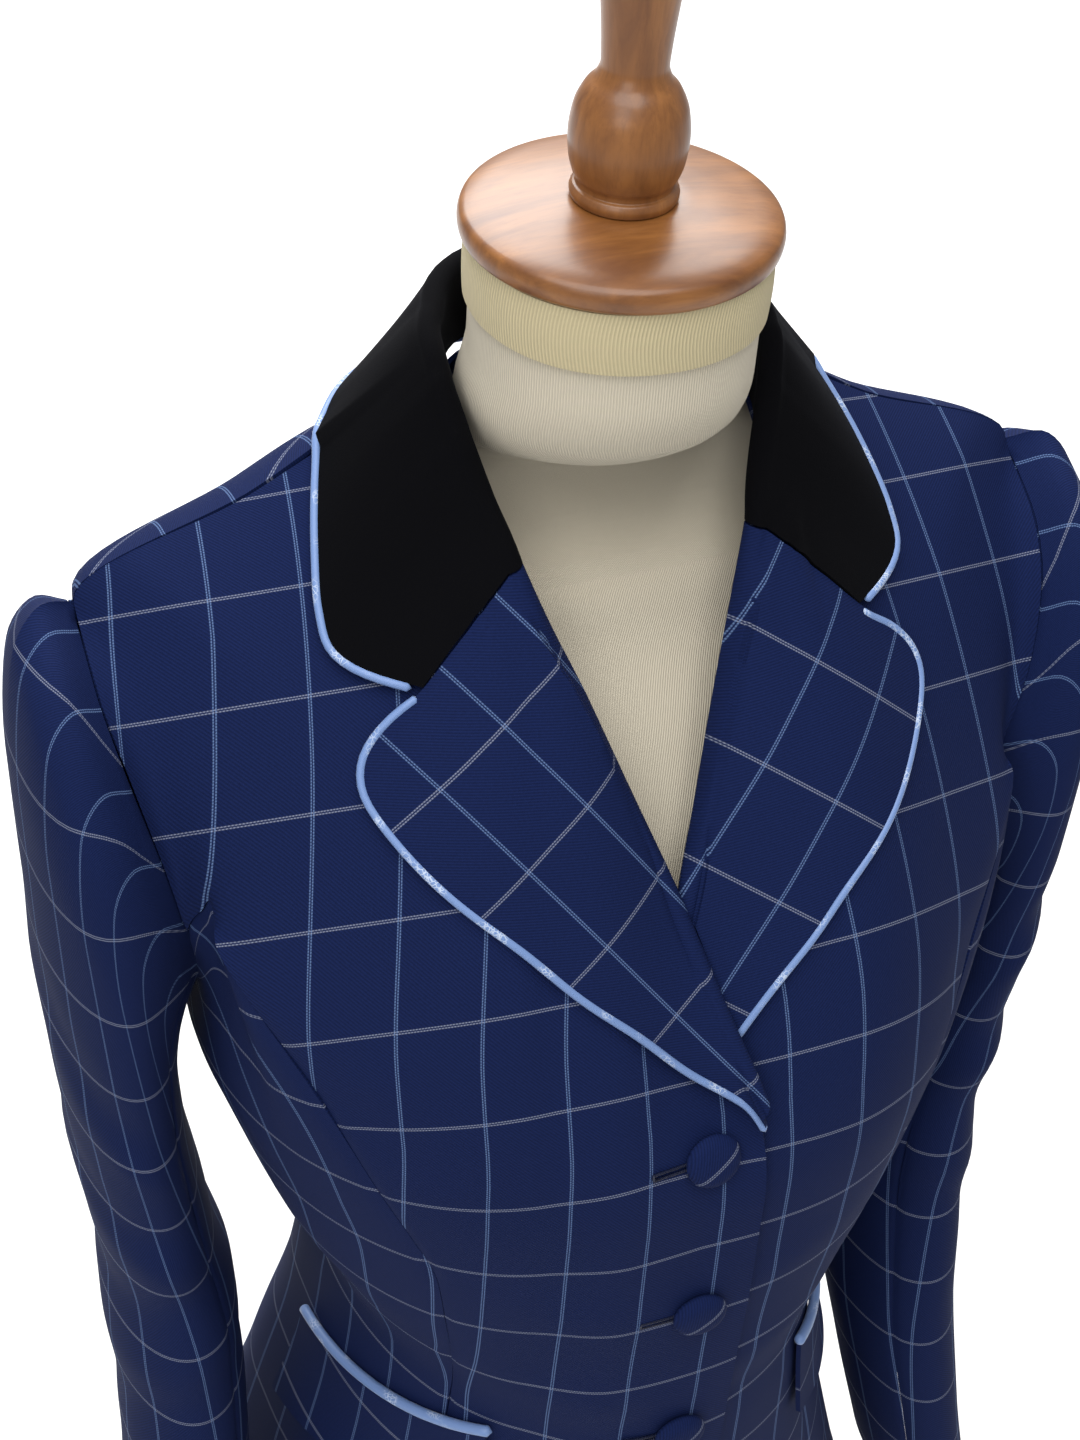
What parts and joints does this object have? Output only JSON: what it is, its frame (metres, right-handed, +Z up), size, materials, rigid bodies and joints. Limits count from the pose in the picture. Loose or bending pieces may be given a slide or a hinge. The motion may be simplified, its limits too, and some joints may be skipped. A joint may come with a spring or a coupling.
{
  "type": "riding show coat on dress form",
  "caption": "Fitted ladies' riding show coat in windowpane wool with velvet collar, piped lapels and flap pockets, buttoned on a limbless dress form with a round stand.",
  "frame": {"origin": "on the floor under the middle of the round stand", "axes": "+Z up, the coat faces -Y, the wearer's right side is at -X"},
  "size_m": [0.458, 0.39, 1.6393],
  "materials": {
    "navy_wool": "matt wool twill with a light blue windowpane check",
    "black_velvet": "black velvet pile",
    "blue_piping": "satin piping with pale woven flecks",
    "cream_jersey": "matt cotton jersey",
    "varnished_wood": "turned and varnished"
  },
  "bodies": {
    "root": {"front_right": "navy_wool", "front_left": "navy_wool", "side_panel_right": "navy_wool", "side_panel_left": "navy_wool", "back_right": "navy_wool", "back_left": "navy_wool", "top_sleeve_right": "navy_wool", "top_sleeve_left": "navy_wool", "under_sleeve_right": "navy_wool", "under_sleeve_left": "navy_wool", "lapel_right": "navy_wool", "lapel_left": "navy_wool", "pocket_flap_right": "navy_wool", "pocket_flap_left": "navy_wool", "button_1": "navy_wool", "button_2": "navy_wool", "button_3": "navy_wool", "collar": "black_velvet", "collar_piping": "blue_piping", "lapel_piping_right": "blue_piping", "lapel_piping_left": "blue_piping", "pocket_piping_right": "blue_piping", "pocket_piping_left": "blue_piping", "form_torso": "cream_jersey", "neck_band": "cream_jersey", "neck_cap": "varnished_wood", "finial": "varnished_wood", "stand_base": "varnished_wood", "stand_pole": "varnished_wood"}
  },
  "joints": []
}
